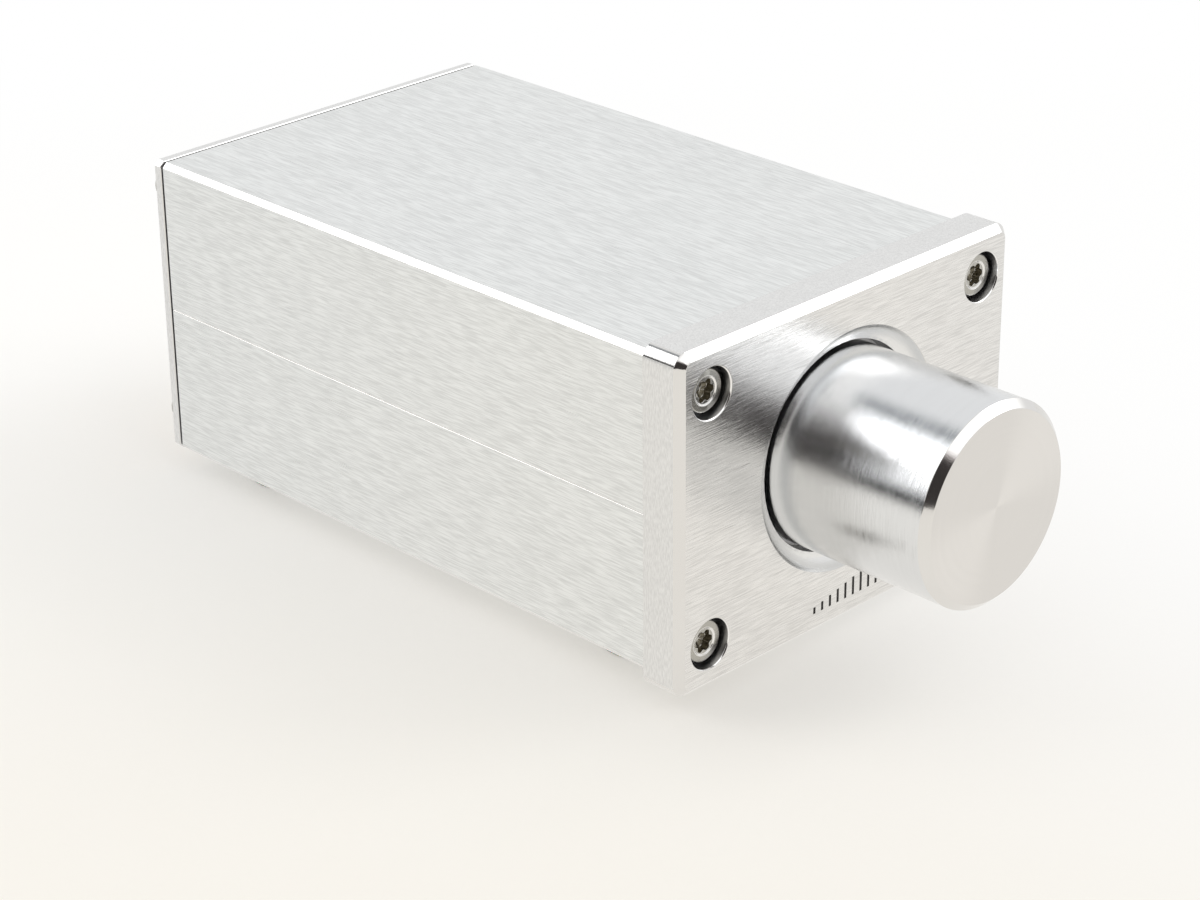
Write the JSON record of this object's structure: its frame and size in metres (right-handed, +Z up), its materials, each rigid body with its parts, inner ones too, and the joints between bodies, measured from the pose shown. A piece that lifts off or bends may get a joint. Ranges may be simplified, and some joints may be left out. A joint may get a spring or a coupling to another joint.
{
  "type": "passive preamplifier",
  "caption": "Small extruded aluminium control box with one large turned volume knob in a dished front panel and phono jacks at the back.",
  "frame": {"origin": "centre of the overall box in plan, at the underside of the feet", "axes": "+Z up, +Y from the knob towards the jacks at the back, +X to the right as seen from the front"},
  "size_m": [0.06, 0.1344, 0.0472],
  "materials": {
    "shell_aluminium": "brushed along its length, clear anodised",
    "panel_aluminium": "brushed across its width, clear anodised, cut edges bright",
    "rear_aluminium": "brushed, clear anodised",
    "knob_aluminium": "fine turned, clear anodised",
    "case_screw_steel": "plain stainless, six-lobe socket",
    "set_screw_steel": "blackened",
    "foot_silicone": "translucent silicone, satin",
    "plated_brass": "nickel plated",
    "plated_steel": "zinc plated",
    "housing_plastic": "moulded, fine texture",
    "rotor_plastic": "natural moulded",
    "board_phenolic": "paper laminate",
    "spring_bronze": "bare spring bronze",
    "tinned_brass": "tinned",
    "gold_plate": "gold plated, bright",
    "ring_white": "moulded",
    "ring_red": "moulded",
    "bush_plastic": "moulded",
    "insulator_white": "turned, waxy",
    "wire_white": "insulated wire",
    "wire_red": "insulated wire",
    "wire_black": "insulated wire",
    "bare_copper": "bare tinned copper"
  },
  "bodies": {
    "case": {"front_panel": "panel_aluminium", "rear_panel": "rear_aluminium", "top_shell": "shell_aluminium", "bottom_shell": "shell_aluminium", "front_screws": "case_screw_steel", "rear_screws": "case_screw_steel", "foot_front_left": "foot_silicone", "foot_front_right": "foot_silicone", "foot_rear_left": "foot_silicone", "foot_rear_right": "foot_silicone", "pot_bushing": "plated_brass", "pot_washer": "plated_steel", "pot_nut": "plated_steel", "pot_front_plate": "plated_steel", "pot_housing_front": "housing_plastic", "pot_housing_rear": "housing_plastic", "pot_board_front": "board_phenolic", "pot_board_rear": "board_phenolic", "pot_rear_plate": "plated_steel", "pot_rivets": "plated_steel", "pot_lugs_front": "tinned_brass", "pot_lugs_rear": "tinned_brass", "jack_shell_input_left": "gold_plate", "jack_shell_input_right": "gold_plate", "jack_shell_output_left": "gold_plate", "jack_shell_output_right": "gold_plate", "jack_ring_input_left": "ring_white", "jack_ring_input_right": "ring_red", "jack_ring_output_left": "ring_white", "jack_ring_output_right": "ring_red", "jack_bush_input_left": "bush_plastic", "jack_bush_input_right": "bush_plastic", "jack_bush_output_left": "bush_plastic", "jack_bush_output_right": "bush_plastic", "jack_insulator_input_left": "insulator_white", "jack_insulator_input_right": "insulator_white", "jack_insulator_output_left": "insulator_white", "jack_insulator_output_right": "insulator_white", "jack_contact_input_left": "gold_plate", "jack_contact_input_right": "gold_plate", "jack_contact_output_left": "gold_plate", "jack_contact_output_right": "gold_plate", "jack_nuts": "gold_plate", "jack_solder_tags": "tinned_brass", "wire_input_left": "wire_white", "wire_input_right": "wire_red", "wire_output_left": "wire_white", "wire_output_right": "wire_red", "wire_ground_left": "wire_black", "wire_ground_right": "wire_black", "ground_link_left": "bare_copper", "ground_link_right": "bare_copper"},
    "knob": {"volume_knob": "knob_aluminium", "knob_set_screw": "set_screw_steel", "pot_shaft": "plated_brass", "pot_rotor_front": "rotor_plastic", "pot_rotor_rear": "rotor_plastic", "pot_wiper_front": "spring_bronze", "pot_wiper_rear": "spring_bronze"}
  },
  "joints": [
    {"name": "volume_turn", "type": "hinge", "parent": "case", "child": "knob", "pos_m": [0, -0.0557, 0.0257], "axis": [0, 1, 0], "range_deg": [-150, 150]}
  ]
}
